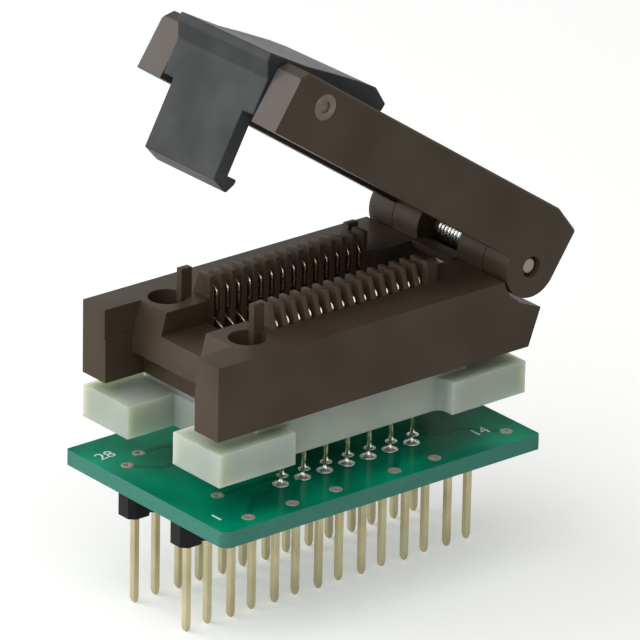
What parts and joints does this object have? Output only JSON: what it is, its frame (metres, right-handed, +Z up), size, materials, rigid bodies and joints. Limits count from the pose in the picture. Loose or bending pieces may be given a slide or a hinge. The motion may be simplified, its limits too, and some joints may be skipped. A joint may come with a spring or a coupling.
{
  "type": "soic to dip adapter",
  "caption": "Clamshell chip socket on a small board with two rows of header pins, for plugging a wide small-outline package into a DIP socket.",
  "frame": {"origin": "centre of the header pin pattern, in the plane of the pin tips", "axes": "+X along the pin rows towards the lid's hinge, +Y to the far row, +Z up out of the board"},
  "size_m": [0.0417, 0.0232, 0.0548],
  "materials": {
    "gold_plated_pin": "gold flash over nickel, satin",
    "black_strip": "moulded, matt",
    "green_board": "green solder mask over glass fibre laminate",
    "solder": "bright tin",
    "natural_guide": "natural greenish, slightly translucent",
    "gold_plated_contact": "gold plated, bright",
    "brown_moulding": "brown, fine moulded grain",
    "steel_pin": "ground steel",
    "spring_wire": "drawn music wire",
    "black_pad": "moulded, matt",
    "dark_latch": "greenish black, satin"
  },
  "bodies": {
    "socket": {"header_pin_01": "gold_plated_pin", "header_pin_02": "gold_plated_pin", "header_pin_03": "gold_plated_pin", "header_pin_04": "gold_plated_pin", "header_pin_05": "gold_plated_pin", "header_pin_06": "gold_plated_pin", "header_pin_07": "gold_plated_pin", "header_pin_08": "gold_plated_pin", "header_pin_09": "gold_plated_pin", "header_pin_10": "gold_plated_pin", "header_pin_11": "gold_plated_pin", "header_pin_12": "gold_plated_pin", "header_pin_13": "gold_plated_pin", "header_pin_14": "gold_plated_pin", "header_pin_15": "gold_plated_pin", "header_pin_16": "gold_plated_pin", "header_pin_17": "gold_plated_pin", "header_pin_18": "gold_plated_pin", "header_pin_19": "gold_plated_pin", "header_pin_20": "gold_plated_pin", "header_pin_21": "gold_plated_pin", "header_pin_22": "gold_plated_pin", "header_pin_23": "gold_plated_pin", "header_pin_24": "gold_plated_pin", "header_pin_25": "gold_plated_pin", "header_pin_26": "gold_plated_pin", "header_pin_27": "gold_plated_pin", "header_pin_28": "gold_plated_pin", "header_strip_front": "black_strip", "header_strip_rear": "black_strip", "board": "green_board", "tail_solder": "solder", "pin_guide": "natural_guide", "contacts_front_outer": "gold_plated_contact", "contacts_front_inner": "gold_plated_contact", "contacts_rear_outer": "gold_plated_contact", "contacts_rear_inner": "gold_plated_contact", "socket_body": "brown_moulding", "hinge_pin": "steel_pin", "hinge_spring": "spring_wire"},
    "lid": {"lid": "brown_moulding", "pressure_pad": "black_pad", "latch_pin": "steel_pin"},
    "latch": {"latch": "dark_latch"}
  },
  "joints": [
    {"name": "lid_hinge", "type": "hinge", "parent": "socket", "child": "lid", "pos_m": [0.0182, 0, 0.02875], "axis": [0, 1, 0], "range_deg": [-34.6, 75], "stiffness_Nm_per_rad": 0.002, "springref_deg": 16.39, "deforming": ["hinge_spring"]},
    {"name": "latch_pivot", "type": "hinge", "parent": "lid", "child": "latch", "pos_m": [-0.00631, 0, 0.04999], "axis": [0, 1, 0], "range_deg": [-6.5, 12]}
  ]
}
